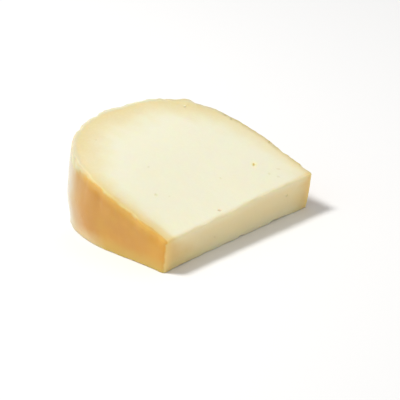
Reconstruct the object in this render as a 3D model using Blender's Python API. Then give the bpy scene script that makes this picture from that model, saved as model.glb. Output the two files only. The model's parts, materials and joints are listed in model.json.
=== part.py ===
"""A wedge of aged goat cheese, lying on one of its two cut faces.

It is a sector of a round wheel with the thin tip cut off. The wheel's axis lies along X, in front of the
wedge, so the wheel's height is the wedge's width, its two flat rinds face -X and +X, its rounded rim faces +Y
and the short cut end faces -Y. Both cut faces lie in planes through the axis: the lower one is the base.
"""

from math import cos, pi, radians, sin, tan

import bmesh
import bpy
import numpy as np
from mathutils import Vector

# The wheel that the wedge was cut from, in metres
WHEEL_HEIGHT = 0.095
WHEEL_RADIUS = 0.138
RIM_START = 0.058  # the flat rinds start to bend into the rim at this distance from the axis
RIM_POWER = 2.91  # a superellipse: 2 is round, more is squarer

# The cuts
WEDGE_ANGLE = radians(17.4)
TIP_RADIUS = 0.056  # distance from the axis at which the tip is cut off
END_TILT = radians(8.0)  # the cut end leans out over its foot
END_YAW = radians(-2.7)  # and is a little out of square

# How soft the edges are
BASE_EDGE = 0.0008
TOP_EDGE = 0.0008
CORNER_RADIUS = 0.0015

# The flat rinds swell by this, most at that distance from the axis
LEFT_BULGE = 0.0038
RIGHT_BULGE = 0.0015
BULGE_RADIUS = 0.1073
BULGE_WIDTH = 0.022
BULGE_X = (0.010, 0.040)  # it grows between these distances from the middle

# The rim draws in towards the base by this, below that height
RIM_LEAN = 0.0024
LEAN_HEIGHT = 0.027
LEAN_RADIUS = (0.085, 0.115)

# Slow waves round the rind, whose crests slant a little on their way up
RIM_WAVE = 0.0003
RIM_WAVE_LENGTH = 0.0289
RIM_CREST = -0.037
RIM_WAVE_X = (-0.012, 0.012)  # they fade out between these, towards the right
RIM_WAVE_RADIUS = (0.108, 0.125)
FLAT_WAVE = 0.0004
FLAT_WAVE_LENGTH = 0.0302
FLAT_CREST = 0.088
FLAT_WAVE_WIDTH = 0.014
FLAT_WAVE_X = (0.030, 0.044)
WAVE_SLANT = 0.0056

# What the knife left on the upper cut: a soft step and a hollow by the end, and a faint ripple
TOP_STEP = 0.0004
STEP_X = 0.006
STEP_WIDTH = 0.008
STEP_LIFT = 0.75  # the whole of the end's edge stands up by this share of the step
TOP_HOLLOW = 0.00045
HOLLOW_X = -0.006
HOLLOW_WIDTH = 0.009
END_REACH = 0.050
TOP_RIPPLE = 0.00012
RIPPLE_LENGTH = 0.0446
RIPPLE_WIDTH = 0.0817

# Mesh density
FINE_POINTS = 400
CORNER_POINTS = 16
OUTLINE_POINTS = 124
EDGE_STEPS = 3
SIDE_STEPS = 8
TURN_WEIGHT = 0.006  # metres of outline that one radian of turning counts for
BASE_RINGS = (0.35, 0.7, 0.9)
TOP_RINGS = (0.15, 0.3, 0.45, 0.6, 0.72, 0.82, 0.9, 0.96)
END_BLEND = (0.005, 0.015)  # the sides turn from straight to round the axis over this distance from the end
SMOOTH_ANGLE = radians(35)

# The eyes that show, in millimetres. On the upper cut: x, distance in front of the axis, width, length, depth
TOP_EYES = (
    (26.4, 72.0, 2.2, 1.8, 1.5),
    (-12.4, 55.6, 2.6, 1.3, 1.0),
    (-18.4, 91.9, 1.3, 1.0, 0.8),
    (-29.9, 76.0, 1.7, 1.2, 0.9),
    (6.1, 72.3, 1.2, 1.0, 0.8),
    (28.1, 63.5, 1.4, 1.2, 0.9),
    (31.1, 60.8, 1.8, 1.1, 0.7),
    (34.2, 65.0, 1.1, 1.4, 0.6),
)
# On the cut end: x, height above the base, then the same three sizes
END_EYES = (
    (31.0, 11.1, 1.7, 1.5, 1.2),
    (-16.0, 6.5, 1.2, 1.0, 0.9),
)

PASTE_COLOUR = (0.86, 0.82, 0.60, 1.0)
RIND_COLOUR = (0.62, 0.33, 0.10, 1.0)


def clear_scene():
    for obj in list(bpy.data.objects):
        bpy.data.objects.remove(obj)


def plain_material(name, colour, roughness):
    material = bpy.data.materials.new(name)
    material.use_nodes = True
    shader = material.node_tree.nodes["Principled BSDF"]
    shader.inputs["Base Color"].default_value = colour
    shader.inputs["Roughness"].default_value = roughness
    shader.inputs["Metallic"].default_value = 0.0
    return material


def bell(value, centre, width):
    """1 at the centre, falling away like a bell on both sides."""
    return np.exp(-(((value - centre) / width) ** 2))


def ramp(value, start, end):
    """0 up to the start, 1 from the end on, an easy S between them."""
    share = np.clip((value - start) / (end - start), 0, 1)
    return share * share * (3 - 2 * share)


def wave(value, length, crest):
    """A cosine of that wave length, with a crest there."""
    return np.cos(2 * pi * (value - crest) / length)


def arc(centre, radius, start, end):
    angles = np.linspace(start, end, CORNER_POINTS)
    return np.stack([centre[0] + radius * np.cos(angles), centre[1] + radius * np.sin(angles)], 1)


def wheel_outline():
    """Half of the wheel's section as (x, distance from the axis) points, anticlockwise from the middle of the
    cut tip, with the outward direction of each. Points lie closer together where the outline turns."""
    half = WHEEL_HEIGHT / 2
    inner = TIP_RADIUS + CORNER_RADIUS
    angles = np.linspace(0, pi, FINE_POINTS)
    across = np.sign(np.cos(angles)) * np.abs(np.cos(angles)) ** (2 / RIM_POWER)
    out = np.sin(angles) ** (2 / RIM_POWER)
    rim = np.stack([half * across, RIM_START + (WHEEL_RADIUS - RIM_START) * out], 1)
    right_corner = arc((half - CORNER_RADIUS, inner), CORNER_RADIUS, -pi / 2, 0)
    left_corner = arc((CORNER_RADIUS - half, inner), CORNER_RADIUS, pi, 3 * pi / 2)
    middle = [(0, TIP_RADIUS)]
    line = np.concatenate([middle, right_corner, rim, left_corner, middle])

    steps = np.diff(line, axis=0)
    turns = np.diff(np.unwrap(np.arctan2(steps[:, 1], steps[:, 0])), prepend=0)
    measure = np.hypot(steps[:, 0], steps[:, 1]) + TURN_WEIGHT * np.abs(turns)
    along = np.concatenate([[0], np.cumsum(measure)])
    wanted = np.linspace(0, along[-1], OUTLINE_POINTS, endpoint=False)
    points = np.stack([np.interp(wanted, along, line[:, k]) for k in (0, 1)], 1)
    ahead = np.roll(points, -1, axis=0) - np.roll(points, 1, axis=0)
    outward = np.stack([ahead[:, 1], -ahead[:, 0]], 1)
    return points, outward / np.linalg.norm(outward, axis=1)[:, None]


def side_relief(outline, share):
    """How far the sides stand out of the plain outline, that share of the way up: swollen flat rinds, a rim
    that draws in towards the base, and slow waves round the rind."""
    x, radius = outline[:, 0], outline[:, 1]
    swollen = bell(radius, BULGE_RADIUS, BULGE_WIDTH)
    bulge = swollen * (LEFT_BULGE * ramp(-x, *BULGE_X) + RIGHT_BULGE * ramp(x, *BULGE_X))
    height = share * WHEEL_RADIUS * sin(WEDGE_ANGLE)
    lean = RIM_LEAN * (1 - ramp(height, 0, LEAN_HEIGHT)) * ramp(radius, *LEAN_RADIUS)
    slant = WAVE_SLANT * (1 - share)
    on_rim = ramp(radius, *RIM_WAVE_RADIUS) * (1 - ramp(x, *RIM_WAVE_X))
    rim_wave = RIM_WAVE * wave(x, RIM_WAVE_LENGTH, RIM_CREST - slant) * on_rim
    on_flat = bell(radius, FLAT_CREST, FLAT_WAVE_WIDTH) * ramp(x, *FLAT_WAVE_X)
    flat_wave = FLAT_WAVE * wave(radius, FLAT_WAVE_LENGTH, FLAT_CREST - slant) * on_flat
    return bulge - lean + rim_wave + flat_wave


def top_height(x, y):
    """Height of the upper cut over (x, distance in front of the axis): a plane through the axis, with a soft
    step and a hollow where the knife left the end, and a faint ripple."""
    step = TOP_STEP * (STEP_LIFT + np.tanh((x - STEP_X) / STEP_WIDTH))
    hollow = TOP_HOLLOW * bell(x, HOLLOW_X, HOLLOW_WIDTH)
    near_end = 1 - ramp(y, TIP_RADIUS, TIP_RADIUS + END_REACH)
    ripple = TOP_RIPPLE * wave(y + x / 4, RIPPLE_LENGTH, RIPPLE_LENGTH / 4) * wave(x, RIPPLE_WIDTH, 0)
    return y * tan(WEDGE_ANGLE) + (step - hollow) * near_end + ripple


def on_cut(section, depth, upper):
    """Lays the (x, distance from the axis) points at that depth under a cut face. At the cut end they lie in
    its plane, and at the rim on the wheel."""
    x, radius = section[:, 0], section[:, 1]
    rise = tan(WEDGE_ANGLE) if upper else 0.0
    foot = radius - x * tan(END_YAW) - (0 if upper else depth * tan(END_TILT))
    to_end = foot / (1 + rise * tan(END_TILT))
    to_rim = radius * cos(WEDGE_ANGLE) if upper else radius
    towards_end = (WHEEL_RADIUS - radius) / (WHEEL_RADIUS - TIP_RADIUS)
    y = to_rim + towards_end * (to_end - to_rim)
    z = top_height(x, y) - depth if upper else np.full_like(x, depth)
    return np.stack([x, y, z], 1)


def between(low, high, radius, share):
    """Points that share of the way up from low to high: straight up the cut end, round the axis elsewhere."""
    straight = low + share * (high - low)
    low_angle, high_angle = (np.arctan2(points[:, 2], points[:, 1]) for points in (low, high))
    low_reach, high_reach = (np.hypot(points[:, 1], points[:, 2]) for points in (low, high))
    angle = low_angle + share * (high_angle - low_angle)
    reach = low_reach + share * (high_reach - low_reach)
    round_axis = np.stack([straight[:, 0], reach * np.cos(angle), reach * np.sin(angle)], 1)
    blend = ramp(radius - TIP_RADIUS, *END_BLEND)[:, None]
    return straight + blend * (round_axis - straight)


def wedge_loops():
    """The loops of the shell, from the middle of the base out, up the sides and in over the top."""
    outline, outward = wheel_outline()
    middle = np.array([0.0, (TIP_RADIUS + WHEEL_RADIUS) / 2])

    def section(share, inset):
        return outline + outward * (side_relief(outline, share) - inset)[:, None]

    def shrunk(share, inset, scale):
        return middle + (section(share, inset) - middle) * scale

    quarter = np.linspace(0, pi / 2, EDGE_STEPS + 1)
    loops = [on_cut(shrunk(0, BASE_EDGE, scale), 0, False) for scale in BASE_RINGS]
    for angle in quarter:
        edge = section(0, BASE_EDGE * (1 - sin(angle)))
        loops.append(on_cut(edge, BASE_EDGE * (1 - cos(angle)), False))
    for share in np.linspace(0, 1, SIDE_STEPS + 2)[1:-1]:
        side = section(share, 0)
        low = on_cut(side, BASE_EDGE, False)
        high = on_cut(side, TOP_EDGE, True)
        loops.append(between(low, high, side[:, 1], share))
    for angle in quarter[::-1]:
        edge = section(1, TOP_EDGE * (1 - sin(angle)))
        loops.append(on_cut(edge, TOP_EDGE * (1 - cos(angle)), True))
    loops += [on_cut(shrunk(1, TOP_EDGE, scale), 0, True) for scale in TOP_RINGS[::-1]]
    return loops


def skin(loops, name):
    """A closed mesh over loops of equal length, with a fan over the first and the last."""
    mesh = bpy.data.meshes.new(name)
    shell = bmesh.new()
    rings = [[shell.verts.new(point) for point in loop] for loop in loops]
    count = len(rings[0])
    for lower, upper in zip(rings, rings[1:]):
        for k in range(count):
            after = (k + 1) % count
            shell.faces.new((lower[k], lower[after], upper[after], upper[k]))
    for ring, loop in ((rings[0][::-1], loops[0]), (rings[-1], loops[-1])):
        hub = shell.verts.new(loop.mean(0))
        for k in range(count):
            shell.faces.new((hub, ring[k], ring[(k + 1) % count]))
    bmesh.ops.recalc_face_normals(shell, faces=shell.faces)
    shell.to_mesh(mesh)
    shell.free()
    return mesh


def paint_rind(mesh):
    """Gives the rind's faces the second material: those that face along X or off the axis, within 60 degrees."""
    for polygon in mesh.polygons:
        centre, normal = polygon.center, polygon.normal
        away = (normal.y * centre.y + normal.z * centre.z) / (centre.y**2 + centre.z**2) ** 0.5
        polygon.material_index = int(max(away, abs(normal.x)) > cos(radians(60)))


def middle_of_base(mesh):
    """The point of the wheel's frame that becomes the origin: under the middle of the wedge's box."""
    points = np.array([vertex.co for vertex in mesh.vertices])
    low, high = points.min(0), points.max(0)
    return Vector(((low[0] + high[0]) / 2, (low[1] + high[1]) / 2, low[2]))


def eye_cutter(name, centre, normal, sizes, collection):
    """An ellipsoid that sinks an eye into a face: width along X, length along the face, depth into it."""
    width, length, depth = (size / 1000 for size in sizes)
    ball = bmesh.new()
    bmesh.ops.create_icosphere(ball, subdivisions=2, radius=1.0)
    across = Vector((1, 0, 0))
    along = normal.cross(across)
    for vertex in ball.verts:
        x, y, z = vertex.co
        vertex.co = centre + across * x * width / 2 + along * y * length / 2 + normal * z * depth
    bmesh.ops.recalc_face_normals(ball, faces=ball.faces)
    mesh = bpy.data.meshes.new(name)
    ball.to_mesh(mesh)
    ball.free()
    cutter = bpy.data.objects.new(name, mesh)
    cutter.hide_render = True
    cutter.display_type = "WIRE"
    collection.objects.link(cutter)


def eye_cutters(origin):
    collection = bpy.data.collections.new("eye_cutters")
    collection.hide_render = True
    bpy.context.scene.collection.children.link(collection)
    top_normal = Vector((0, -sin(WEDGE_ANGLE), cos(WEDGE_ANGLE)))
    for number, (x, y, *sizes) in enumerate(TOP_EYES):
        x, y = x / 1000, y / 1000
        mouth = Vector((x, y, float(top_height(x, y))))
        eye_cutter(f"top_eye_{number}", mouth - origin, top_normal, sizes, collection)
    end_normal = Vector((-tan(END_YAW), -1, -tan(END_TILT))).normalized()
    for number, (x, height, *sizes) in enumerate(END_EYES):
        x, height = x / 1000, height / 1000
        mouth = Vector((x, TIP_RADIUS - x * tan(END_YAW) - height * tan(END_TILT), height))
        eye_cutter(f"end_eye_{number}", mouth - origin, end_normal, sizes, collection)
    return collection


def main():
    clear_scene()
    mesh = skin(wedge_loops(), "cheese_wedge")
    mesh.materials.append(plain_material("goat_paste", PASTE_COLOUR, 0.5))
    mesh.materials.append(plain_material("goat_rind", RIND_COLOUR, 0.4))
    paint_rind(mesh)
    origin = middle_of_base(mesh)
    for vertex in mesh.vertices:
        vertex.co -= origin
    mesh.shade_smooth()
    mesh.set_sharp_from_angle(angle=SMOOTH_ANGLE)
    wedge = bpy.data.objects.new("cheese_wedge", mesh)
    bpy.context.scene.collection.objects.link(wedge)

    eyes = wedge.modifiers.new("eyes", "BOOLEAN")
    eyes.operation = "DIFFERENCE"
    eyes.operand_type = "COLLECTION"
    eyes.collection = eye_cutters(origin)
    eyes.solver = "EXACT"


main()
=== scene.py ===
"""The looks of a wedge of aged goat cheese: one dense shell with its eyes cut in, and one loose crumb.

The shell repeats the formulas of the part's own solid in the wheel's frame: X runs along the wheel's axis,
the axis lies in front of the wedge, and both cut faces lie in planes through it. Lengths are in metres. A
pair of values is where an easy ramp starts and ends, unless its comment says something else.
"""

import json
from math import cos, pi, radians, sin, tan
from types import SimpleNamespace

import bpy
import numpy as np
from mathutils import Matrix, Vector

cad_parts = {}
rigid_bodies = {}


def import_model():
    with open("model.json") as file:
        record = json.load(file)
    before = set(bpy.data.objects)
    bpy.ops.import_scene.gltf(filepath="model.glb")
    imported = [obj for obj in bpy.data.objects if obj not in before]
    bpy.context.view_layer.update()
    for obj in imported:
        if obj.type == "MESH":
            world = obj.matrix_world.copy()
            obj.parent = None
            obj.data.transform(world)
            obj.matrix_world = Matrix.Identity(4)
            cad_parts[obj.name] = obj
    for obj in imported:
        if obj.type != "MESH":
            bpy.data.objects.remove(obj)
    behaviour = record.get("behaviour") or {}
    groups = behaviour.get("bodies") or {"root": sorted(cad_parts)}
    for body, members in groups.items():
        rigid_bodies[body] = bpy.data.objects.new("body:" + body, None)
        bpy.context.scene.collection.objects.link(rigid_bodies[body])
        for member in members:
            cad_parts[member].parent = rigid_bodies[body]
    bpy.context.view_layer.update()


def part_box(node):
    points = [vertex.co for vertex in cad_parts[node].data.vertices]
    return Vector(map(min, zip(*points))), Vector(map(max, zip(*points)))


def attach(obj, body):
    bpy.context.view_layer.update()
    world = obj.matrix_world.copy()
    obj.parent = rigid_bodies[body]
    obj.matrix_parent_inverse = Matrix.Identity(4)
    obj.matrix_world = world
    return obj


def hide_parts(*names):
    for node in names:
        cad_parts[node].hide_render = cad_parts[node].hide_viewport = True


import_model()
NODE = "cheese_wedge"
MM = 0.001

# The wheel and its cuts
WHEEL_HEIGHT = 0.095
WHEEL_RADIUS = 0.138
RIM_START = 0.058
RIM_POWER = 2.91
WEDGE_ANGLE = radians(17.4)
TIP_RADIUS = 0.056
END_TILT = radians(8.0)
END_YAW = radians(-2.7)
RIM_TOP = WHEEL_RADIUS * sin(WEDGE_ANGLE)  # height of the rim's upper border
ORIGIN = np.array([-0.000362, 0.093838, 0])  # the part's origin in the wheel's frame, as in the solid
ALONG_AXIS = np.array([1.0, 0, 0])

# Soft edges
BASE_EDGE = 0.0008
TOP_EDGE = 0.0009
RIND_EDGE = 0.0006  # the top edge is this much rounder along the left flat rind and the rim
RIND_EDGE_X = (0.010, 0.030)
RIND_EDGE_START = (0.003, 0.010)  # distance behind the cut end
EDGE_UNEVEN = 0.45
UNEVEN_LENGTH = 0.0085
CORNER_RADIUS = 0.0015
EDGE_AT_CORNER = 0.9  # at a corner the edges have at most this share of the corner's radius
FREE_EDGE = 0.002  # away from it they may be this much larger
CORNER_REACH = (0.002, 0.006)

# The foot of the cut end: x, width and height of each small gap under it
FOOT_GAPS = (
    (0.0262, 0.0050, 0.00075),
    (0.0022, 0.0016, 0.00035),
    (-0.0360, 0.0034, 0.00030),
)
GAP_REACH = 0.004
GAP_UNEVEN = 0.5
GAP_LENGTH = 0.0035
FOOT_REACH = 0.0008  # the foot stands further out at the left corner
FOOT_REACH_X = (0.020, 0.047)

# Low relief of the upper cut
TOP_STEP = 0.0004
STEP_X = 0.006
STEP_WIDTH = 0.008
STEP_LIFT = 0.75
TOP_HOLLOW = 0.00020
HOLLOW_X = -0.006
HOLLOW_WIDTH = 0.009
END_SINK = 0.0011  # it lies this much lower at the end than in the solid
LEFT_SINK = 0.0003  # and this much more at the left
LEFT_SINK_X = (0.012, 0.026)
END_REACH = 0.050
TOP_RIPPLE = 0.00012
RIPPLE_LENGTH = 0.0446
RIPPLE_WIDTH = 0.0817
RIPPLE_SLANT = 0.25
BACK_LUMP = 0.0008  # it rises to a lump at the back and drops beyond it
BACK_LUMP_X = (0.0275, 0.0353, 0.0362)  # start, crest and foot
BACK_LUMP_Y = (0.110, 0.119)
BACK_DIP = 0.0003
BACK_DIP_X = 0.0258
BACK_DIP_WIDTH = 0.0050

# Slow unevenness of the sides, as in the solid
FLAT_X = (0.030, 0.044)  # x or -x, from where a point counts as on a flat rind
LEFT_BULGE = 0.0038
RIGHT_BULGE = 0.0015
BULGE_RADIUS = 0.1073
BULGE_WIDTH = 0.022
BULGE_X = (0.010, 0.040)
RIM_LEAN = (0.0014, 0.0024)  # at the left and behind, where it is as in the solid
LEAN_HEIGHT = (0.020, 0.027)  # the rim leans in below these heights, at the left and behind
LEAN_X = (-0.031, -0.014)
LEAN_RADIUS = (0.085, 0.115)
RIM_WAVE = 0.0003
RIM_WAVE_LENGTH = 0.0289
RIM_CREST = -0.037
RIM_WAVE_X = (-0.012, 0.012)
RIM_WAVE_RADIUS = (0.108, 0.125)
FLAT_WAVE = 0.0004
FLAT_WAVE_LENGTH = 0.0302
FLAT_CREST = 0.088
FLAT_WAVE_WIDTH = 0.014
WAVE_SLANT = 0.0056
END_BLEND = (0.005, 0.015)  # behind the cut end the sides change from straight up to round the axis

# Where the sides are fuller than in the solid
TOP_SWELL = 0.0004  # the rim, under the upper cut
TOP_SWELL_RADIUS = (0.096, 0.112)
TOP_SWELL_SHARE = (0.55, 0.95)  # share of the way up
CORNER_OUT = 0.0004  # the right flat rind, above its front corner
CORNER_OUT_WIDTH = 0.012
CORNER_OUT_SHARE = (0.0, 0.4)
FLANK_OUT = 0.0004  # and along its middle
FLANK_RADIUS = 0.089
FLANK_WIDTH = 0.014

# The rind's upper border: small lumps all along it, and a slower sway of the left flat
LUMP_FLAT = 0.00016
LUMP_RIM = 0.00020
LUMP_SHARE = (0.84, 1.0)  # share of the way up
LUMP_LAYERS = ((0.0042, 1.0, 43), (0.0021, 0.22, 44))  # wave length, height, seed
LUMP_DRAW = 0.35  # down the side the lumps change this much as fast as along it
SWAY = 0.00038
SWAY_LENGTH = 0.0085
SWAY_SHARE = (0.45, 1.0)
BORDER_START = (0.002, 0.006)  # distance behind the cut end

# Fine relief, all of it carved inwards: wave length, height and seed of each layer
CUT_GRAIN = ((0.0090, 0.00005, 0), (0.0034, 0.00002, 1))
RIND_GRAIN = ((0.0140, 0.00010, 10), (0.0048, 0.00004, 11))
EDGE_GRAIN = ((0.0062, 0.00014, 20), (0.0027, 0.00010, 21))
EDGE_REACH = 0.0022  # the edges are rough within this distance
CUT_SKIN = (0.0002, 0.0010)  # over this distance from a cut the relief changes to that of the rind
RELIEF_LIFT = 0.0012  # it fades below this height, so that the base stays flat

# Smooth noise: its plane waves and the other seeds
GRAIN_WAVES = 28
GRAIN_SPREAD = (0.7, 1.4)  # the smallest and the largest wave number, over that of the length asked for
BASE_EDGE_SEED = 41
TOP_EDGE_SEED = 42
GAP_SEED = 45
SWAY_SEED = 46
EYE_SEED = 100

# Mesh density
FINE_POINTS = 3000
CORNER_POINTS = 40
COLUMNS = 500
BASE_ROWS = 24
EDGE_ROWS = 9
SIDE_ROWS = 56
TOP_ROWS = 78
TOP_CROWDING = 1.3  # the rows of the upper cut crowd towards its border
TURN_WEIGHT = 0.005
DEPTH_LEVELS = 25
TAIL_POINTS = 20
TAIL_REACH = 0.008
BLOCK = 2000  # the distances of about this many points are worked out at a time
SMOOTH_ANGLE = radians(40)

# The eyes, in millimetres, the main one first. On the upper cut: x, distance behind the axis, then width,
# length and depth of the hollow, whose width runs along the way that EYE_TURN gives
TOP_EYES = (
    (27.1, 72.1, 1.4, 2.3, 1.2),
    (-10.6, 56.4, 1.8, 1.5, 0.45),
    (-18.4, 91.9, 1.0, 1.2, 0.16),
    (-28.8, 76.6, 1.6, 1.7, 0.25),
    (6.1, 72.3, 1.0, 1.0, 0.16),
    (28.5, 64.2, 1.2, 1.5, 0.11),
    (30.9, 60.9, 1.5, 1.3, 0.09),
    (35.1, 64.8, 1.8, 1.2, 0.08),
    (-23.9, 73.4, 0.8, 0.8, 0.07),
    (-26.1, 116.6, 0.9, 0.9, 0.15),
    (31.6, 117.9, 1.3, 1.4, 0.12),
)
EYE_TURN = radians(-45)
# Small dark spots beside the right rind, painted shade of shallow hollows, given like the eyes of the upper
# cut
SPECKS = (
    (42.7, 104.9, 1.2, 1.5, 0.6),
    (43.0, 101.5, 0.9, 1.8, 0.6),
    (46.4, 81.0, 1.0, 2.0, 0.6),
)
# On the cut end: x, height above the base, then the same three sizes, with the width along X
END_EYES = (
    (31.0, 11.1, 1.5, 1.3, 0.30),
    (-16.0, 6.5, 1.0, 0.8, 0.15),
)
EYE_GRID = (16, 28)  # rings from pole to pole, points round each
EYE_LUMPS = (1.6, 0.16)  # wave length and height, over the eye's half width
EYE_SPREAD = 1.15  # half width of an eye's colour over that of its mouth
RING_SPREAD = 2.1
SPECK_SPREAD = 1.1
EYE_MARGIN = 1.3  # the colour goes this many depths into the face

# The crumb
CRUMB_PLACE = (0.0298, 0.1181)  # x, distance behind the axis
CRUMB_SIZE = np.array([0.0012, 0.0010, 0.00045])
CRUMB_GRID = (12, 20)  # rings and points, as for the eyes
CRUMB_LUMPS = (1.3, 0.22)  # wave length and height, over the crumb's half size
CRUMB_SEED = 61
CRUMB_RISE = 0.1  # its middle lies this share of its height above the cut

# How the cheese ripens from the rind inwards
FLAT_REACH = 0.0095
RIGHT_REACH = 0.0135
RIM_REACH = 0.0225
RIM_REACH_RADIUS = (0.084, 0.116)
RIM_REACH_LATER = (0.008, 0.006)  # at the right that start and end lie this much further back
RIGHT_START = 0.28  # on the upper cut the right border starts this far into its colours
LEFT_START = 0.20  # and so does the left one where it turns into the rim
LEFT_START_RADIUS = 0.108
LEFT_START_WIDTH = 0.012
LEFT_START_X = (0.030, 0.042)
FOOT_SPREAD = 0.024  # the border reaches this much deeper beside the left foot, as painted warm shade low on the cut end
FOOT_SPREAD_HEIGHT = 0.017
FOOT_SPREAD_X = (-0.010, 0.020)
FOOT_SPREAD_RIGHT = 0.15  # the share of it that is left at the right
RIPENING_LAYERS = ((0.030, 0.16, 31), (0.009, 0.09, 32))  # wave length, height, seed

# Where the parts of the surface begin and end that the material tells apart
TOP_DEPTH = (0.0002, 0.0016)
SKIN_DEPTH = (0.0014, 0.0036)
RIGHT_X = (0.012, 0.036)
LEFT_X = (-0.030, 0.020)
BACK_X = (-0.033, -0.014)
FAR_X = (0.018, 0.030)
FRONT_X = (0.020, 0.035)
FRONT_RADIUS = (0.064, 0.080)
BY_END_RADIUS = (0.0580, 0.0665)
SHOULDER_RADIUS = (0.086, 0.098)
RIM_RADIUS = (0.101, 0.119)
LIMB_RADIUS = (0.109, 0.124)
PALE_SHEEN = (1.2, 6.7)  # millimetres under the upper cut where the rind is painted pale as a sheen, and how many more at the rim
SHEEN_RADIUS = (0.098, 0.120)

# The camera: 180 mm over a 36 mm sensor, so 2000 pixels in a picture that is 400 wide
CAMERA_EYE = (-0.57139, -0.58148, 0.35065)
CAMERA_TARGET = (0.00950, -0.00598, 0.00603)
CAMERA_LENS = 180
CAMERA_SENSOR = 36
CAMERA_CLIP = (0.05, 50)  # nearest and farthest

# The lamps: name, direction from the wedge, distance, size, power in watts and colour
LAMPS = (
    ("key", (-0.69, 0.724, tan(radians(61))), 1.3, 0.32, 12.5, (1.0, 0.993, 0.98)),
    ("warm_fill", (0.35, -1.0, 0.12), 1.5, 0.8, 1.9, (1.0, 0.79, 0.52)),
)
SKY_STRENGTH = 0.48
FLOOR_REACH = 6.0
FLOOR_GREY = 0.93


def bell(value, centre, width):
    """1 at the centre, falling away like a bell on both sides."""
    return np.exp(-(((value - centre) / width) ** 2))


def ramp(value, start, end):
    """0 up to the start, 1 from the end on, an easy S between them."""
    share = np.clip((value - start) / (end - start), 0, 1)
    return share * share * (3 - 2 * share)


def wave(value, length, crest):
    """A cosine of that wave length, with a crest there."""
    return np.cos(2 * pi * (value - crest) / length)


def grain(points, length, seed):
    """Smooth noise of about -1 to 1 at the points: the sum of plane waves near that length, in directions and
    phases drawn from a seeded generator, over the square root of their number."""
    draw = np.random.default_rng(seed)
    ways = draw.normal(size=(GRAIN_WAVES, 3))
    number = 2 * pi / length * draw.uniform(*GRAIN_SPREAD, GRAIN_WAVES)
    ways *= (number / np.linalg.norm(ways, axis=1))[:, None]
    total = np.cos(points @ ways.T + draw.uniform(0, 2 * pi, GRAIN_WAVES)).sum(-1)
    return np.clip(total / GRAIN_WAVES**0.5, -1, 1)


def layered_grain(points, layers):
    """The sum of smooth noises at the points, one for each (wave length, height, seed)."""
    return sum(height * grain(points, length, seed) for length, height, seed in layers)


def arc(centre, radius, start, end):
    """Points of an arc round that centre, from one angle to the other."""
    angles = np.linspace(start, end, CORNER_POINTS)
    return np.stack([centre[0] + radius * np.cos(angles), centre[1] + radius * np.sin(angles)], 1)


def wheel_outline():
    """Half of the wheel's section as (x, distance from the axis) points, anticlockwise from the middle of the
    cut tip, with the outward direction of each: a superellipse for the rim, round corners at the cut tip. The
    points are spread evenly over the line's length plus a weight for how far it turns."""
    half = WHEEL_HEIGHT / 2
    inner = TIP_RADIUS + CORNER_RADIUS
    angles = np.linspace(0, pi, FINE_POINTS)
    across = np.sign(np.cos(angles)) * np.abs(np.cos(angles)) ** (2 / RIM_POWER)
    out = np.sin(angles) ** (2 / RIM_POWER)
    rim = np.stack([half * across, RIM_START + (WHEEL_RADIUS - RIM_START) * out], 1)
    right_corner = arc((half - CORNER_RADIUS, inner), CORNER_RADIUS, -pi / 2, 0)
    left_corner = arc((CORNER_RADIUS - half, inner), CORNER_RADIUS, pi, 3 * pi / 2)
    middle = [(0, TIP_RADIUS)]
    line = np.concatenate([middle, right_corner, rim, left_corner, middle])

    steps = np.diff(line, axis=0)
    turns = np.diff(np.unwrap(np.arctan2(steps[:, 1], steps[:, 0])), prepend=0)
    measure = np.hypot(steps[:, 0], steps[:, 1]) + TURN_WEIGHT * np.abs(turns)
    along = np.concatenate([[0], np.cumsum(measure)])
    wanted = np.linspace(0, along[-1], COLUMNS, endpoint=False)
    points = np.stack([np.interp(wanted, along, line[:, k]) for k in (0, 1)], 1)
    ahead = np.roll(points, -1, axis=0) - np.roll(points, 1, axis=0)
    outward = np.stack([ahead[:, 1], -ahead[:, 0]], 1)
    return points, outward / np.linalg.norm(outward, axis=1)[:, None]


def border_lumps(x, radius, share):
    """How far the rind's upper border moves out: lumps of smooth noise, a little higher at the rim, and a
    slower sway of the left flat. Down the side the lumps change only slowly and the sway not at all, so
    that neither leaves a ledge. Both fade towards the base and near the cut end."""
    drawn_out = RIM_TOP + LUMP_DRAW * (share * RIM_TOP - RIM_TOP)
    lumps = layered_grain(np.stack(np.broadcast_arrays(x, radius, drawn_out), -1), LUMP_LAYERS)
    height = LUMP_FLAT + (LUMP_RIM - LUMP_FLAT) * ramp(radius, *RIM_WAVE_RADIUS)
    sway = grain(np.stack(np.broadcast_arrays(x, radius, RIM_TOP), -1), SWAY_LENGTH, SWAY_SEED)
    lumps = lumps * height * ramp(share, *LUMP_SHARE)
    lumps = lumps + SWAY * sway * ramp(-x, *FLAT_X) * ramp(share, *SWAY_SHARE)
    return lumps * ramp(radius - TIP_RADIUS, *BORDER_START)


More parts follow.
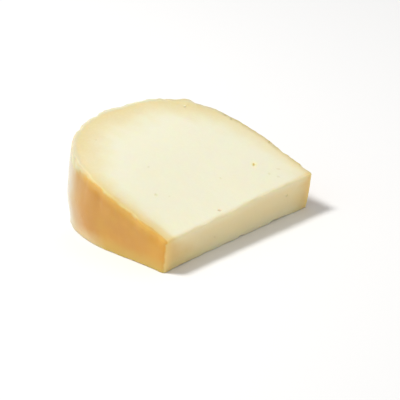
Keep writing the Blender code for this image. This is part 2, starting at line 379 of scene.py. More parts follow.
def side_relief(outline, share):
    """How far the sides stand out of the plain outline, that share of the way up. It is a sum: flat rinds
    that swell like a bell, a rim that draws in towards the base, slow waves round the rind, the lumps of
    its upper border, a right flat that is fuller at its front corner and its middle, and a rim that is
    fuller on top."""
    x, radius = outline[..., 0], outline[..., 1]
    swollen = bell(radius, BULGE_RADIUS, BULGE_WIDTH)
    bulge = swollen * (LEFT_BULGE * ramp(-x, *BULGE_X) + RIGHT_BULGE * ramp(x, *BULGE_X))

    height = share * RIM_TOP
    near_rim = ramp(radius, *LEAN_RADIUS)
    left_lean, back_lean = (
        most * (1 - ramp(height, 0, reach)) * near_rim for most, reach in zip(RIM_LEAN, LEAN_HEIGHT)
    )
    lean = left_lean + (back_lean - left_lean) * ramp(x, *LEAN_X)

    slant = WAVE_SLANT * (1 - share)
    on_rim = ramp(radius, *RIM_WAVE_RADIUS) * (1 - ramp(x, *RIM_WAVE_X))
    rim_wave = RIM_WAVE * wave(x, RIM_WAVE_LENGTH, RIM_CREST - slant) * on_rim
    on_right = ramp(x, *FLAT_X)
    on_flat = bell(radius, FLAT_CREST, FLAT_WAVE_WIDTH) * on_right
    flat_wave = FLAT_WAVE * wave(radius, FLAT_WAVE_LENGTH, FLAT_CREST - slant) * on_flat

    near_corner = bell(radius, TIP_RADIUS, CORNER_OUT_WIDTH) * on_right
    corner = CORNER_OUT * near_corner * ramp(share, *CORNER_OUT_SHARE)
    flank = FLANK_OUT * bell(radius, FLANK_RADIUS, FLANK_WIDTH) * on_right
    swell = TOP_SWELL * ramp(radius, *TOP_SWELL_RADIUS) * ramp(share, *TOP_SWELL_SHARE)
    return bulge - lean + rim_wave + flat_wave + border_lumps(x, radius, share) + corner + flank + swell


def top_height(x, y):
    """Height of the upper cut over (x, distance behind the axis): a plane through the axis, a soft step and
    a hollow where the knife left the end, lower towards the end, a lump and a dip at the back, a faint
    ripple."""
    step = TOP_STEP * (STEP_LIFT + np.tanh((x - STEP_X) / STEP_WIDTH))
    step = step - END_SINK - LEFT_SINK * ramp(-x, *LEFT_SINK_X)
    hollow = TOP_HOLLOW * bell(x, HOLLOW_X, HOLLOW_WIDTH)
    near_end = 1 - ramp(y, TIP_RADIUS, TIP_RADIUS + END_REACH)
    slanted = y + RIPPLE_SLANT * x
    ripple = TOP_RIPPLE * wave(slanted, RIPPLE_LENGTH, RIPPLE_LENGTH / 4) * wave(x, RIPPLE_WIDTH, 0)
    rise, crest, foot = BACK_LUMP_X
    lump = BACK_LUMP * (ramp(x, rise, crest) - ramp(x, crest, foot))
    lump = lump - BACK_DIP * bell(x, BACK_DIP_X, BACK_DIP_WIDTH)
    return y * tan(WEDGE_ANGLE) + (step - hollow) * near_end + ripple + lump * ramp(y, *BACK_LUMP_Y)


def foot_gap(x, y):
    """How far the base is lifted off the ground under the cut end: a few short bells along its foot, made
    uneven by smooth noise."""
    lift = sum(height * bell(x, centre, width) for centre, width, height in FOOT_GAPS)
    uneven = 1 + GAP_UNEVEN * grain(np.stack([x, 0 * x, 0 * x], -1), GAP_LENGTH, GAP_SEED)
    return lift * uneven * (1 - ramp(y - TIP_RADIUS, 0, GAP_REACH))


def on_cut(section, depth, upper):
    """Lays the (x, distance from the axis) points at that depth under a cut face. At the cut end they lie in
    its plane, and at the rim on the wheel."""
    x, radius = section[..., 0], section[..., 1]
    foot = radius - x * tan(END_YAW)
    if upper:
        rise = tan(WEDGE_ANGLE)
        to_rim = radius * cos(WEDGE_ANGLE)
    else:
        rise = 0.0
        to_rim = radius
        foot = foot - depth * tan(END_TILT) - FOOT_REACH * ramp(-x, *FOOT_REACH_X)
    to_end = foot / (1 + rise * tan(END_TILT))
    towards_end = (WHEEL_RADIUS - radius) / (WHEEL_RADIUS - TIP_RADIUS)
    y = to_rim + towards_end * (to_end - to_rim)
    z = top_height(x, y) - depth if upper else depth + foot_gap(x, y)
    return np.stack([x, y, z], -1)


def between(low, high, radius, share):
    """Points that share of the way up from low to high: straight up the cut end, round the axis elsewhere."""
    straight = low + share[..., None] * (high - low)
    low_angle, high_angle = (np.arctan2(points[..., 2], points[..., 1]) for points in (low, high))
    low_reach, high_reach = (np.hypot(points[..., 1], points[..., 2]) for points in (low, high))
    angle = low_angle + share * (high_angle - low_angle)
    reach = low_reach + share * (high_reach - low_reach)
    round_axis = np.stack([straight[..., 0], reach * np.cos(angle), reach * np.sin(angle)], -1)
    blend = ramp(radius - TIP_RADIUS, *END_BLEND)[..., None]
    return straight + blend * (round_axis - straight)


def row_places():
    """For each row of the shell, from the middle of the base out, up the sides and in over the top: the
    share of the way up, the scale about the middle, and how much of the base edge and of the top edge
    counts as inset from the outline and as depth under the cut face. Each edge is a quarter of a circle."""
    quarter = np.linspace(0, pi / 2, EDGE_ROWS + 1)
    inset, depth = 1 - np.sin(quarter), 1 - np.cos(quarter)
    base = np.linspace(1 / BASE_ROWS, 1, BASE_ROWS, endpoint=False)
    sides = np.linspace(0, 1, SIDE_ROWS + 2)[1:-1]
    top = 1 - np.linspace(0, 1, TOP_ROWS + 1)[1:-1] ** TOP_CROWDING
    counts = [len(base), len(quarter), len(sides), len(quarter), len(top)]

    def column(*stretches):
        """One column of values from a value or an array for each of the five stretches of rows."""
        return np.concatenate([value + np.zeros(count) for value, count in zip(stretches, counts)])[:, None]

    return (
        column(0, 0, sides, 1, 1),
        column(base, 1, 1, 1, top),
        column(1, inset, 0, 0, 0),
        column(0, depth, 1, 1, 1),
        column(0, 0, 0, inset[::-1], 1),
        column(1, 1, 1, depth[::-1], 0),
    )


def edge_sizes(outline):
    """Radius of the base edge and of the top edge at each point of the outline. Smooth noise makes both
    uneven, the top edge is rounder along the left rind and the rim, and near the two corners beside the cut
    end both stay within the corner's own radius."""
    x, behind_end = outline[:, 0], outline[:, 1] - TIP_RADIUS
    rounder = RIND_EDGE * (1 - ramp(x, *RIND_EDGE_X)) * ramp(behind_end, *RIND_EDGE_START)
    corner_x = WHEEL_HEIGHT / 2 - CORNER_RADIUS
    corners = np.array([(side * corner_x, TIP_RADIUS + CORNER_RADIUS) for side in (-1, 1)])
    away = np.linalg.norm(outline[:, None] - corners, axis=-1).min(1)
    limit = EDGE_AT_CORNER * CORNER_RADIUS + FREE_EDGE * ramp(away, *CORNER_REACH)
    points = np.column_stack([outline, 0 * x])
    base, top = (
        np.minimum(size * (1 + EDGE_UNEVEN * grain(points, UNEVEN_LENGTH, seed)), limit)
        for size, seed in ((BASE_EDGE, BASE_EDGE_SEED), (TOP_EDGE + rounder, TOP_EDGE_SEED))
    )
    return base, top


def facing(rings):
    """The outward direction at each point of a ring grid: the cross product of its two slopes."""
    along = np.roll(rings, -1, axis=1) - np.roll(rings, 1, axis=1)
    up = np.gradient(rings, axis=0)
    normal = np.cross(along, up)
    return normal / np.maximum(np.linalg.norm(normal, axis=-1), 1e-12)[..., None]


def cut_distances(points):
    """Distance of points of the wheel's frame under the upper cut, above the base and behind the cut end."""
    x, y, z = points[..., 0], points[..., 1], points[..., 2]
    under_top = (top_height(x, y) - z) * cos(WEDGE_ANGLE)
    behind_end = (y - TIP_RADIUS + x * tan(END_YAW) + z * tan(END_TILT)) * cos(END_TILT)
    return under_top, z, behind_end


def carved(rings):
    """The rings with their fine relief. Each layer sinks a point by height * (1 - noise) / 2: a soft grain
    on the cuts, a coarser one on the rind, and rough edges, where two faces are near. The base stays
    flat."""
    cuts = np.stack(cut_distances(rings))
    above_base = cuts[1]
    on_cut_face = 1 - ramp(cuts.min(0), *CUT_SKIN)
    second_nearest = np.sort(np.stack([*cuts, rind_depth(rings)]), axis=0)[1]
    at_edge = 1 - ramp(second_nearest, 0, EDGE_REACH)
    sink = np.zeros(rings.shape[:2])
    for layers, where in ((CUT_GRAIN, on_cut_face), (RIND_GRAIN, 1 - on_cut_face), (EDGE_GRAIN, at_edge)):
        for length, height, seed in layers:
            sink += where * height * (1 - grain(rings, length, seed)) / 2
    return rings - facing(rings) * (sink * ramp(above_base, 0, RELIEF_LIFT))[..., None]


def rind_depth(points):
    """Distance of points of the wheel's frame from the rind: in the wheel's section, to the nearest point
    of the outline without its cut tip, which swells with the sides at the points' own height. It is worked
    out for a few shares of the way up, and a point takes its place between the two beside it."""
    outline, outward = wheel_outline()
    keep = outline[:, 1] > TIP_RADIUS + CORNER_RADIUS
    outline, outward = outline[keep], outward[keep]
    flat = points.reshape(-1, 3)
    section = np.stack([flat[:, 0], np.hypot(flat[:, 1], flat[:, 2])], 1)
    share = np.clip(np.arctan2(flat[:, 2], flat[:, 1]) / WEDGE_ANGLE, 0, 1)
    place = share * (DEPTH_LEVELS - 1)
    found = np.empty((DEPTH_LEVELS, len(flat)))
    # Both flats go on straight for a little way past the cut end
    tail = np.linspace(TIP_RADIUS + CORNER_RADIUS, TIP_RADIUS - TAIL_REACH, TAIL_POINTS)
    for level in range(DEPTH_LEVELS):
        near = np.abs(place - level) <= 1
        if not near.any():
            continue
        line = outline + outward * side_relief(outline, level / (DEPTH_LEVELS - 1))[:, None]
        ends = [np.stack([np.full(TAIL_POINTS, line[k, 0]), tail], 1) for k in (0, -1)]
        line = np.concatenate([ends[0][::-1], line, ends[1]])
        found[level, near] = distance_to_line(section[near], line)
    low = np.minimum(place.astype(int), DEPTH_LEVELS - 2)
    part = place - low
    column = np.arange(len(flat))
    return (found[low, column] * (1 - part) + found[low + 1, column] * part).reshape(points.shape[:-1])


def distance_to_line(points, line):
    """Distance of each 2D point to a line of short segments, a block of points at a time."""
    start, run = line[:-1], np.diff(line, axis=0)
    square = (run**2).sum(1)
    found = []
    for block in np.array_split(points, max(1, len(points) // BLOCK)):
        gap = block[:, None] - start
        share = np.clip((gap * run).sum(-1) / square, 0, 1)
        found.append(np.linalg.norm(gap - share[..., None] * run, axis=-1).min(1))
    return np.concatenate(found)


def wedge_rings():
    """The shell as rows and columns of points: each row scales the outline about the wedge's middle, swells
    it, and is laid between the two cut faces."""
    outline, outward = wheel_outline()
    base_edge, top_edge = edge_sizes(outline)
    share, scale, base_inset, base_depth, top_inset, top_depth = row_places()
    middle = np.array([0.0, (TIP_RADIUS + WHEEL_RADIUS) / 2])
    out = side_relief(outline, share) - base_edge * base_inset - top_edge * top_inset
    section = middle + (outline + outward * out[..., None] - middle) * scale[..., None]
    low = on_cut(section, base_edge * base_depth, False)
    high = on_cut(section, top_edge * top_depth, True)
    return between(low, high, section[..., 1], share + 0 * out)


def shell_mesh(name, rings, low_pole, high_pole):
    """A closed mesh over a ring grid: quads between neighbouring rings, and a fan from each pole."""
    rows, columns = rings.shape[:2]
    points = np.concatenate([rings.reshape(-1, 3), [low_pole, high_pole]])
    index = np.arange(rows * columns).reshape(rows, columns)
    after = np.roll(index, -1, axis=1)
    quads = np.stack([index[:-1], after[:-1], after[1:], index[1:]], -1).reshape(-1, 4)
    low = np.full(columns, rows * columns)
    low_fan = np.stack([low, after[0], index[0]], -1)
    high_fan = np.stack([low + 1, index[-1], after[-1]], -1)
    mesh = bpy.data.meshes.new(name)
    mesh.from_pydata(points.tolist(), [], quads.tolist() + low_fan.tolist() + high_fan.tolist())
    mesh.update()
    return mesh


def lumpy_ball(name, grid, lumps, seed, placed):
    """A closed mesh of a unit sphere's rings, each point moved out by smooth noise and then placed."""
    rings, columns = grid
    length, height = lumps
    polar = np.linspace(0, pi, rings)[1:-1, None]
    turn = np.linspace(0, 2 * pi, columns, endpoint=False)
    out = np.sin(polar)
    ball = np.stack([out * np.cos(turn), out * np.sin(turn), -np.cos(polar) + 0 * turn], -1)
    poles = np.array([[0, 0, -1.0], [0, 0, 1.0]])
    ball, poles = (
        placed(points * (1 + height * grain(points, length, seed))[..., None]) for points in (ball, poles)
    )
    return shell_mesh(name, ball, *poles)


def eye_mesh(name, mouth, normal, across, sizes, seed):
    """A lumpy ellipsoid that sinks an eye into a face: a lumpy ball, stretched to the width across, the
    length along the face and the depth into it."""
    width, length, depth = sizes
    along = np.cross(normal, across)

    def placed(points):
        x, y, z = (points[..., k : k + 1] for k in range(3))
        return mouth + across * x * width / 2 + along * y * length / 2 + normal * z * depth

    return lumpy_ball(name, EYE_GRID, EYE_LUMPS, seed, placed)


def top_places(spots):
    """(mouth, outward direction of the face, direction of the width, sizes) of each spot on the upper cut."""
    normal = np.array([0, -sin(WEDGE_ANGLE), cos(WEDGE_ANGLE)])
    turned = ALONG_AXIS * cos(EYE_TURN) + np.cross(normal, ALONG_AXIS) * sin(EYE_TURN)
    places = []
    for spot in spots:
        x, y, *sizes = (value * MM for value in spot)
        places.append((np.array([x, y, top_height(x, y)]), normal, turned, sizes))
    return places


def eye_places():
    """The places of all the eyes in the wheel's frame: those of the upper cut, then those of the cut end."""
    places = top_places(TOP_EYES)
    normal = np.array([-tan(END_YAW), -1, -tan(END_TILT)])
    normal /= np.linalg.norm(normal)
    across = np.cross(normal, np.cross(ALONG_AXIS, normal))
    for spot in END_EYES:
        x, height, *sizes = (value * MM for value in spot)
        mouth = np.array([x, TIP_RADIUS - x * tan(END_YAW) - height * tan(END_TILT), height])
        places.append((mouth, normal, across, sizes))
    return places


def eye_shade(points, places, spread):
    """1 inside the eyes at these places, falling to 0 outside their mouths: exp(-(r / spread) ** 4), where
    r is the distance from the eye's axis over its own half width."""
    shade = np.zeros(points.shape[:-1])
    for mouth, normal, across, (width, length, depth) in places:
        gap = points - mouth
        along = np.cross(normal, across)
        reach = np.hypot(gap @ across / (width / 2), gap @ along / (length / 2))
        near = np.abs(gap @ normal) < EYE_MARGIN * depth
        shade = np.maximum(shade, near * np.exp(-((reach / spread) ** 4)))
    return shade


def cut_eyes(wedge):
    """Cuts the eyes out of the shell with one Boolean, applies it and removes the cutters."""
    cutters = bpy.data.collections.new("eye_cutters")
    bpy.context.scene.collection.children.link(cutters)
    for number, (mouth, *directions, sizes) in enumerate(eye_places()):
        mesh = eye_mesh(f"eye_{number}", mouth - ORIGIN, *directions, sizes, EYE_SEED + number)
        cutters.objects.link(bpy.data.objects.new(f"eye_{number}", mesh))
    cut = wedge.modifiers.new("eyes", "BOOLEAN")
    cut.operation = "DIFFERENCE"
    cut.operand_type = "COLLECTION"
    cut.collection = cutters
    cut.solver = "MANIFOLD"
    bpy.context.view_layer.update()
    evaluated = wedge.evaluated_get(bpy.context.evaluated_depsgraph_get())
    mesh = bpy.data.meshes.new_from_object(evaluated)
    wedge.modifiers.clear()
    wedge.data = mesh
    for cutter in list(cutters.objects):
        bpy.data.objects.remove(cutter)
    bpy.data.collections.remove(cutters)


def ripeness(points, depth, right, on_top):
    """How far in each point lies of the ripened border, from 0 at the rind to 1 in the ivory core: its
    depth over the border's reach. The reach is wider at the right and round the rim, and beside the left
    foot it is widened as painted warm shade low on the cut end; smooth noise makes it uneven. On the upper
    cut two stretches of the border start some way into its colours."""
    x, height = points[:, 0], points[:, 2]
    radius = np.hypot(points[:, 1], points[:, 2])
    start, end = (place + later * right for place, later in zip(RIM_REACH_RADIUS, RIM_REACH_LATER))
    rim = ramp(radius, start, end)
    reach = FLAT_REACH + (RIGHT_REACH - FLAT_REACH) * right
    reach += (RIM_REACH - reach) * rim
    # Painted warm shade: a yellower border low beside the left foot
    leftwards = FOOT_SPREAD_RIGHT + (1 - FOOT_SPREAD_RIGHT) * ramp(-x, *FOOT_SPREAD_X)
    reach += FOOT_SPREAD * (1 - ramp(height, 0, FOOT_SPREAD_HEIGHT)) * leftwards
    share = np.clip(depth / (reach * (1 + layered_grain(points, RIPENING_LAYERS))), 0, 1)
    pale_corner = bell(radius, LEFT_START_RADIUS, LEFT_START_WIDTH) * ramp(-x, *LEFT_START_X) * on_top
    head_start = RIGHT_START * right * (1 - rim) + LEFT_START * pale_corner
    return share + head_start * (1 - share)


def wedge_marks(points):
    """What the material needs at each point of the wheel's frame, by name: how ripe it is, its distances from
    the faces in millimetres, which part of the surface it is on, and whether it lies in an eye."""
    x = points[:, 0]
    radius = np.hypot(points[:, 1], points[:, 2])
    depth = rind_depth(points)
    under_top, above_base, behind_end = cut_distances(points)
    on_top = 1 - ramp(under_top, *TOP_DEPTH)
    right = ramp(x, *RIGHT_X) * on_top
    sheen_flat, sheen_rim = PALE_SHEEN
    eyes = eye_places()
    return {
        "ripening": ripeness(points, depth, right, on_top),
        "rind_depth": depth / MM,
        "under_top": np.maximum(under_top, 0) / MM,
        "above_base": above_base / MM,
        "behind_end": np.maximum(behind_end, 0) / MM,
        "skin": (1 - ramp(depth, *SKIN_DEPTH)) * on_top,
        "right_flat": right,
        "left": 1 - ramp(x, *LEFT_X),
        "back": ramp(x, *BACK_X),
        "far": ramp(x, *FAR_X),
        "front": ramp(-x, *FRONT_X) * (1 - ramp(radius, *FRONT_RADIUS)) * on_top,
        "by_end": 1 - ramp(radius, *BY_END_RADIUS),
        "shoulder": ramp(radius, *SHOULDER_RADIUS),
        "rim": ramp(radius, *RIM_RADIUS),
        "limb": ramp(radius, *LIMB_RADIUS),
        "thin_reach": sheen_flat + sheen_rim * ramp(radius, *SHEEN_RADIUS),
        "eye": eye_shade(points, eyes, EYE_SPREAD),
        "main_eye": eye_shade(points, eyes[:1], RING_SPREAD),
        "speck": eye_shade(points, top_places(SPECKS), SPECK_SPREAD),
    }


def mark(mesh):
    """Stores the marks of each point in the mesh, where the material reads them, and gives their names."""
    flat = np.empty(len(mesh.vertices) * 3, np.float32)
    mesh.vertices.foreach_get("co", flat)
    marks = wedge_marks(flat.reshape(-1, 3).astype(float) + ORIGIN)
    for name, values in marks.items():
        attribute = mesh.attributes.new(name, "FLOAT", "POINT")
        attribute.data.foreach_set("value", values.astype(np.float32))
    return list(marks)


class Signal:
    """A socket in a material. Arithmetic on it adds Math nodes, and node() adds any other node."""

    def __init__(self, tree, socket=None):
        self.tree = tree
        self.socket = socket

    def node(self, kind, settings, values, output=0):
        """Adds a node: its settings first, a ramp's stops among them in rising order, then its sockets."""
        made = self.tree.nodes.new(kind)
        for name, setting in settings.items():
            if name == "stops":
                for place, _ in setting[1:-1]:
                    made.color_ramp.elements.new(place)
                for stop, (place, colour) in zip(made.color_ramp.elements, setting):
                    stop.position = place
                    stop.color = colour
            else:
                setattr(made, name, setting)
        fill(made, values)
        return Signal(self.tree, made.outputs[output])

    def math(self, operation, first, second):
        """Adds a Math node for two numbers or signals."""
        return self.node("ShaderNodeMath", {"operation": operation}, {0: first, 1: second})

    def __add__(self, other):
        return self.math("ADD", self, other)

    def __sub__(self, other):
        return self.math("SUBTRACT", self, other)

    def __rsub__(self, other):
        return self.math("SUBTRACT", other, self)

    def __mul__(self, other):
        return self.math("MULTIPLY", self, other)

    __radd__ = __add__
    __rmul__ = __mul__

    def step(self, start, end):
        """0 up to the start, 1 from the end on, smooth between them."""
        settings = {"interpolation_type": "SMOOTHSTEP"}
        return self.node("ShaderNodeMapRange", settings, {"Value": self, "From Min": start, "From Max": end})

    def mix(self, first, second, blend="MIX"):
        """The first colour where this mask is 0, the second or its blend with the first where it is 1."""
        settings = {"data_type": "RGBA", "blend_type": blend}
        return self.node("ShaderNodeMix", settings, {0: self, 6: first, 7: second}, 2)

    def colours(self, stops):
        """The colour at this number between the stops, each a (place, colour)."""
        return self.node("ShaderNodeValToRGB", {"stops": stops}, {"Fac": self})

    def noise(self, size, detail=2):
        """Noise from 0 to 1 over this vector, with patches of about that size in metres."""
        return self.node("ShaderNodeTexNoise", {}, {"Vector": self, "Scale": 1 / size, "Detail": detail})

    def patches(self, size, start, end, detail=2):
        """1 in soft patches of about that size, where the noise is above the end, and 0 below the start."""
        return self.noise(size, detail).step(start, end)

    def swing(self, size, height, detail=2):
        """Noise about zero, of that height from its lowest to its highest."""
        return (self.noise(size, detail) - 0.5) * height


def fill(node, values):
    """Gives the node's sockets their values, or their links where a value is a signal."""
    for name, value in values.items():
        if isinstance(value, Signal):
            value.tree.links.new(value.socket, node.inputs[name])
        else:
            node.inputs[name].default_value = value


def layered(colour, *layers):
    """The colour with other colours painted over it in turn, each a (mask, colour)."""
    for mask, coat in layers:
        colour = mask.mix(colour, coat)
    return colour


def paint(red, green, blue):
    """A colour as a screen shows it, 0 to 255, in the linear light that materials use."""
    shares = (channel / 255 for channel in (red, green, blue))
    return (*(s / 12.92 if s < 0.04045 else ((s + 0.055) / 1.055) ** 2.4 for s in shares), 1)


def new_material(name):
    """A material, its main shader, and a signal that its first nodes are made from."""
    material = bpy.data.materials.new(name)
    material.use_nodes = True
    return material, material.node_tree.nodes["Principled BSDF"], Signal(material.node_tree)


def object_place(start):
    """The place of each point of the piece, which patterns follow."""
    return start.node("ShaderNodeTexCoord", {}, {}, "Object")


# The paste, from the rind to the ivory core
RIPENING_COLOURS = (
    (0.00, paint(222, 210, 153)),
    (0.12, paint(226, 213, 160)),
    (0.25, paint(230, 217, 170)),
    (0.40, paint(233, 222, 180)),
    (0.60, paint(236, 229, 194)),
    (0.80, paint(238, 234, 205)),
    (1.00, paint(239, 236, 211)),
)
PALE_GRAIN = paint(250, 246, 226)
YELLOW_CLOUD = paint(237, 229, 188)
# What the paste is multiplied by on the cut end as painted warm shade, from the rind to the core, and near
# the foot, less yellow as painted bounce light from the floor
END_SHADE_TINTS = (
    (0.00, (0.96, 0.79, 0.60, 1)),
    (0.45, (0.95, 0.80, 0.58, 1)),
    (1.00, (0.965, 0.86, 0.655, 1)),
)
FOOT_BOUNCE_TINT = (0.965, 0.895, 0.76, 1)

# The border just under the coat
TAN_GLOW = paint(220, 190, 112)
FRONT_GLOW = paint(226, 206, 146)
# Painted light: a lighter golden border on the cut end beside the rind
END_CORNER_LIGHT = paint(238, 208, 140)

# The outermost skin of the upper cut
BACK_SKIN = paint(219, 222, 197)
FAR_SKIN = paint(226, 217, 180)
LEFT_SKIN = paint(217, 211, 182)
# Painted shade on the rounded upper edge where the left side turns down and catches the key light
TURNED_FLAT_SHADE = paint(213, 192, 138)
TURNED_RIM_SHADE = paint(204, 192, 151)
# Painted shade along the right, where the rounded edge turns away from the key light
RIGHT_SHADE_LINE = paint(190, 176, 132)
RIGHT_EDGE_SHADE = paint(192, 176, 128)
# Painted shade of shallow hollows beside the right rind
SPECK_SHADE = paint(176, 166, 108)
# Painted shade on the rim's rounded upper edge, against the key light it catches
SHADED_RIM_EDGE = paint(201, 190, 166)

# The eyes
EYE_RING = paint(253, 242, 186)
# Painted shade inside the small eyes
SMALL_EYE_SHADE = paint(216, 207, 162)
MAIN_EYE = paint(236, 216, 140)

# The golden coat and its patches, then its stretches
GOLD = paint(213, 158, 60)
RED_GOLD = paint(208, 149, 63)
YELLOW_GOLD = paint(213, 168, 56)
DEEP_GOLD = paint(203, 144, 60)
LIGHT_GOLD = paint(222, 174, 84)
PALE_STREAK = paint(226, 188, 104)
# Painted shade where the rind turns towards the key light at the shoulder
SHOULDER_SHADE_GOLD = paint(204, 146, 52)
END_GOLD = paint(219, 164, 58)
BAND_GOLD = paint(221, 180, 98)
BAND_BY_END = paint(220, 172, 84)
BAND_SHOULDER = paint(228, 194, 124)
# Painted shade on the rind's rounded lip under the upper cut, against its highlight
LIP_SHADE_GOLD = paint(211, 169, 88)
FOOT_GOLD = paint(214, 178, 84)
FOOT_SHOULDER = paint(222, 195, 140)
# Painted shade on the rim, which faces the key light, then a painted sheen at its outer limb
RIM_SHADE_TAN = paint(198, 169, 112)
LIMB_SHEEN = paint(208, 202, 178)
BACK_GOLD = paint(213, 170, 90)
BACK_YELLOW = paint(212, 176, 96)
# Painted sheen: the rim pale towards the upper cut
SHEEN_LEFT = paint(214, 212, 172)
SHEEN_BACK = paint(220, 204, 146)


def paste_colour(on, place):
    """The paste: yellow that fades into the ivory core as it ripens less, cloudy, with a pale fine grain.
    On the cut end it is multiplied darker and yellower as painted warm shade, less so near the upper edge
    as painted light from the lit top, and less yellow near the foot as painted bounce light from the floor."""
    paste = layered(
        (on.ripening + place.swing(0.009, 0.16, 3)).colours(RIPENING_COLOURS),
        (place.patches(0.0012, 0.35, 0.75, 3) * 0.10, PALE_GRAIN),
        (place.patches(0.022, 0.50, 0.72) * 0.10, YELLOW_CLOUD),
    )
    # Painted warm shade on the cut end: less yellow near the foot as painted bounce light from the floor,
    # eased near the upper edge as painted light from the lit top
    tint = (1 - on.above_base.step(1.0, 7.0)).mix(on.ripening.colours(END_SHADE_TINTS), FOOT_BOUNCE_TINT)
    end_shade = (1 - on.behind_end.step(0.3, 2.2)) * (0.55 + on.under_top.step(0.3, 4.0) * 0.45)
    return end_shade.mix(paste, tint, "MULTIPLY")


def bordered(paste, on, place):
    """The paste with its border and its eyes. A tan glow lies just under the coat, and on the cut end beside
    the rind the border is lightened as painted light over the end's shade. On the upper cut the outermost
    skin is paler at the rim; painted shade makes it greyer where the left side's rounded edge turns down and
    catches the key light, and darker along the right, where that edge turns away from it. Small spots beside
    the right rind are painted shade of shallow hollows. The eyes are dull, the small ones darkened inside as
    painted shade, and the main one is yellow, with a pale ring round it."""
    depth = on.rind_depth
    glow = (1 - depth.step(0.8, 4.4)) * (1 - on.right_flat * 0.6)
    glow = glow * (0.45 + on.front * 0.3 - on.shoulder * 0.25)
    front = on.front * (1 - depth.step(4.0, 6.8))
    # Painted light on the cut end beside the rind, over the end's shade
    end_corner_light = (1 - depth.step(0.8, 6.5)) * (1 - on.behind_end.step(0.4, 2.4))
    rim_skin = on.left.mix(on.far.mix(BACK_SKIN, FAR_SKIN), LEFT_SKIN)
    # Painted shade: the left rounded edge made greyer against the key light it catches
    turned = on.under_top.step(0.08, 0.45) * (1 - on.under_top.step(1.4, 2.4)) * (1 - depth.step(2.2, 3.4))
    turned = turned * on.left * on.behind_end.step(0.6, 2.0)
    # Painted shade along the right, where the rounded edge turns away from the key light
    right_shade_line = (1 - depth.step(0.3, 3.4)) * (place.patches(0.014, 0.35, 0.60) * 0.45 + 0.25) * on.right_flat
    right_edge_shade = (1 - depth.step(0.6, 1.8)) * on.right_flat
    return layered(
        paste,
        (glow, TAN_GLOW),
        (front * 0.55, FRONT_GLOW),
        (end_corner_light * 0.75, END_CORNER_LIGHT),
        (on.skin * on.rim, rim_skin),
        (turned * 0.6, on.rim.mix(TURNED_FLAT_SHADE, TURNED_RIM_SHADE)),
        (right_shade_line, RIGHT_SHADE_LINE),
        (right_edge_shade * 0.45, RIGHT_EDGE_SHADE),
        (on.speck * 0.75, SPECK_SHADE),
        (on.main_eye * 0.5, EYE_RING),
        # Small eyes darkened inside as painted shade; the main one is yellow
        (on.eye.step(0.05, 0.9) * (0.3 + on.main_eye * 0.2), on.main_eye.mix(SMALL_EYE_SHADE, MAIN_EYE)),
    )


def rind_colour(on, place):
    """The golden coat: redder, yellower, deeper and lighter in patches, with pale streaks. It is lighter in
    a band under the upper cut and in one above the foot. Painted shade makes it darker at the shoulder and on
    the rounded lip under the upper cut, where they catch the key light, and duller tan round the rim. A
    painted sheen makes it pale at the rim's outer limb and towards the upper cut, with a scalloped border.
    The back of the rim is golden again."""
    yellow_patch = place.patches(0.017, 0.50, 0.74, 3)
    streaked = place.node("ShaderNodeMapping", {}, {"Vector": place, "Scale": (1.0, 0.35, 1.6)})
    band = 1 - (on.under_top + place.swing(0.0036, 1.6)).step(0.2, 5.6)
    # Painted shade on the rounded lip under the upper cut, where it catches the key light
    lip_shade = 1 - on.under_top.step(0.4, 1.8)
    foot = 1 - (on.above_base + place.swing(0.0050, 2.0)).step(0.5, 7.6)
    # Painted sheen: the rim pale towards the upper cut, with a ragged border
    ragged = on.under_top + place.swing(0.0036, on.thin_reach + 0.6)
    sheen_pale = (1 - ragged.step(on.thin_reach * 0.1, on.thin_reach)) * on.rim.step(0.0, 0.55)
    return layered(
        (place.patches(0.026, 0.42, 0.66) * 0.6).mix(GOLD, RED_GOLD),
        (yellow_patch * 0.5, YELLOW_GOLD),
        (place.patches(0.0062, 0.40, 0.66) * 0.22, DEEP_GOLD),
        (place.patches(0.0105, 0.52, 0.74) * 0.18, LIGHT_GOLD),
        (streaked.patches(0.0045, 0.56, 0.78, 3) * 0.12, PALE_STREAK),
        # Painted shade: darker gold where the rind's shoulder turns towards the key light
        (on.shoulder * 0.85, SHOULDER_SHADE_GOLD),
        (on.by_end * 0.7, END_GOLD),
        (band * 0.95, on.by_end.mix(BAND_GOLD, BAND_BY_END)),
        (band * on.shoulder * 0.4, BAND_SHOULDER),
        (lip_shade * 0.6, LIP_SHADE_GOLD),
        (foot * 0.9, on.shoulder.mix(FOOT_GOLD, FOOT_SHOULDER)),
        # Painted shade makes the rim duller tan, and a painted sheen makes its outer limb pale
        (on.rim * 0.95, on.limb.mix(RIM_SHADE_TAN, LIMB_SHEEN)),
        (on.rim * on.back, yellow_patch.mix(BACK_GOLD, BACK_YELLOW)),
        (sheen_pale * (0.9 - on.back * 0.3), on.back.mix(SHEEN_LEFT, SHEEN_BACK)),
    )


def coat_mask(on, place):
    """1 where the golden coat covers the paste: within about a millimetre of the rind, with a ragged
    border, a little deeper at the left front and on the sides. It ends close under the rim's upper
    border."""
    depth = on.rind_depth
    ragged = (place.swing(0.0013, 0.4) + place.swing(0.0045, 1.0)) * depth.step(0.1, 0.5)
    side = on.under_top.step(0.8, 2.0) * on.behind_end.step(0.3, 1.2)
    coat = 1 - (depth - on.front - side * 0.7 + ragged).step(0.10, 0.85)
    return coat * (on.under_top - on.thin_reach * 0.25).step(-1.2, 0.1)


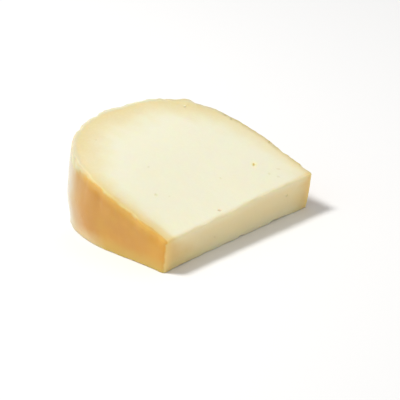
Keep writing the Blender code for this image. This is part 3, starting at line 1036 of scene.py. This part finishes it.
def cheese_material(marks):
    """Ripened paste, eyes and a golden coat about a millimetre deep. The coat's mask mixes it over the paste.
    Lower down the coat is glossier, its rounded edge at the rim is dull and darkened as painted shade against
    the key light it catches, and fine bumps and pits roughen both."""
    material, shader, start = new_material("goat_cheese")
    place = object_place(start)
    on = SimpleNamespace()
    for name in marks:
        setattr(on, name, start.node("ShaderNodeAttribute", {"attribute_name": name}, {}, "Fac"))
    coat = coat_mask(on, place)
    gloss = coat * on.under_top.step(2.2, 6.5)
    edge = (1 - on.rind_depth.step(0.3, 1.6)) * (1 - on.under_top.step(0.3, 1.6))
    cheese = coat.mix(bordered(paste_colour(on, place), on, place), rind_colour(on, place))
    bumps = place.noise(0.0021, 3) * 0.5 + place.noise(0.0006) * 0.35
    pits = place.patches(0.0032, 0.62, 0.80) * -0.5
    relief = bumps * (1 - coat * 0.3) + pits * coat
    sockets = {
        # Painted shade on the rim's rounded upper edge, against the key light it catches
        "Base Color": (edge * on.rim * (0.9 - on.far * 0.55)).mix(cheese, SHADED_RIM_EDGE),
        "Roughness": gloss * -0.08 + place.noise(0.003, 3) * 0.12 + edge * 0.3 + 0.42,
        "Normal": relief.node("ShaderNodeBump", {}, {"Strength": 0.28, "Distance": 0.0004, "Height": relief}),
        "Coat Weight": gloss * 0.65,
        "Coat Roughness": 0.16,
        "Coat IOR": 1.5,
        "IOR": 1.42,
        "Specular IOR Level": 0.25,
        "Sheen Weight": 0.06,
        "Sheen Roughness": 0.22,
        "Subsurface Weight": 0.8,
        "Subsurface Radius": (1.0, 0.72, 0.36),
        "Subsurface Scale": 0.0050,
    }
    fill(shader, sockets)
    return material


def add_object(name, data):
    """A new object in the scene for this mesh, lamp or camera."""
    made = bpy.data.objects.new(name, data)
    bpy.context.scene.collection.objects.link(made)
    return made


def make_wedge():
    """The wedge: the carved shell, kept inside the solid's box, with its eyes cut in and its marks stored."""
    low, high = (np.array(corner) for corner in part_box(NODE))
    rings = np.clip(carved(wedge_rings()) - ORIGIN, low, high)
    wedge = add_object("goat_cheese", shell_mesh("goat_cheese", rings, rings[0].mean(0), rings[-1].mean(0)))
    cut_eyes(wedge)
    marks = mark(wedge.data)
    wedge.data.shade_smooth()
    wedge.data.set_sharp_from_angle(angle=SMOOTH_ANGLE)
    wedge.data.materials.clear()
    wedge.data.materials.append(cheese_material(marks))
    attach(wedge, "root")
    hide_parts(NODE)


def make_crumb():
    """A pale crumb that lies on the upper cut near the rim: a lumpy ellipsoid, sunk in by nearly half."""
    x, y = CRUMB_PLACE
    middle = np.array([x, y, top_height(x, y) + CRUMB_RISE * CRUMB_SIZE[2]]) - ORIGIN

    def placed(points):
        return middle + points * CRUMB_SIZE / 2

    mesh = lumpy_ball("crumb", CRUMB_GRID, CRUMB_LUMPS, CRUMB_SEED, placed)
    mesh.shade_smooth()
    crumb = add_object("crumb", mesh)
    material, shader, start = new_material("crumb_paste")
    colour = object_place(start).noise(0.0008).mix(paint(250, 240, 204), paint(250, 244, 218))
    fill(shader, {"Base Color": colour, "Roughness": 0.5})
    mesh.materials.append(material)
    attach(crumb, "root")


def make_floor():
    """A plain pale floor, wide enough to fill the view."""
    corners = [(x * FLOOR_REACH, y * FLOOR_REACH, 0) for x, y in ((-1, -1), (1, -1), (1, 1), (-1, 1))]
    mesh = bpy.data.meshes.new("floor")
    mesh.from_pydata(corners, [], [(0, 1, 2, 3)])
    material, shader, _ = new_material("pale_floor")
    grey = (FLOOR_GREY, FLOOR_GREY, FLOOR_GREY, 1)
    fill(shader, {"Base Color": grey, "Roughness": 0.9, "Specular IOR Level": 0.1})
    mesh.materials.append(material)
    floor = add_object("floor", mesh)


def make_lamp(name, direction, distance, size, power, colour):
    """A square soft light that shines at the wedge from that direction."""
    lamp = bpy.data.lights.new(name, "AREA")
    lamp.size = size
    lamp.energy = power
    lamp.color = colour
    holder = add_object(name, lamp)
    towards = Vector(direction).normalized()
    holder.location = towards * distance
    holder.rotation_euler = towards.to_track_quat("Z", "Y").to_euler()


def make_light():
    """An even white sky, the lamps, and colours shown as they are."""
    world = bpy.data.worlds.new("studio")
    world.use_nodes = True
    fill(world.node_tree.nodes["Background"], {"Color": (1, 1, 1, 1), "Strength": SKY_STRENGTH})
    bpy.context.scene.world = world
    for lamp in LAMPS:
        make_lamp(*lamp)
    view = bpy.context.scene.view_settings
    view.view_transform = "Standard"
    view.look = "None"


def make_camera():
    """The camera at the viewing angle, which looks from its eye at its target."""
    data = bpy.data.cameras.new("camera")
    data.lens = CAMERA_LENS
    data.sensor_width = CAMERA_SENSOR
    data.clip_start, data.clip_end = CAMERA_CLIP
    camera = add_object("camera", data)
    camera.location = CAMERA_EYE
    back = Vector(CAMERA_EYE) - Vector(CAMERA_TARGET)
    camera.rotation_euler = back.to_track_quat("Z", "Y").to_euler()
    bpy.context.scene.camera = camera


make_camera()
make_light()
make_floor()
make_wedge()
make_crumb()
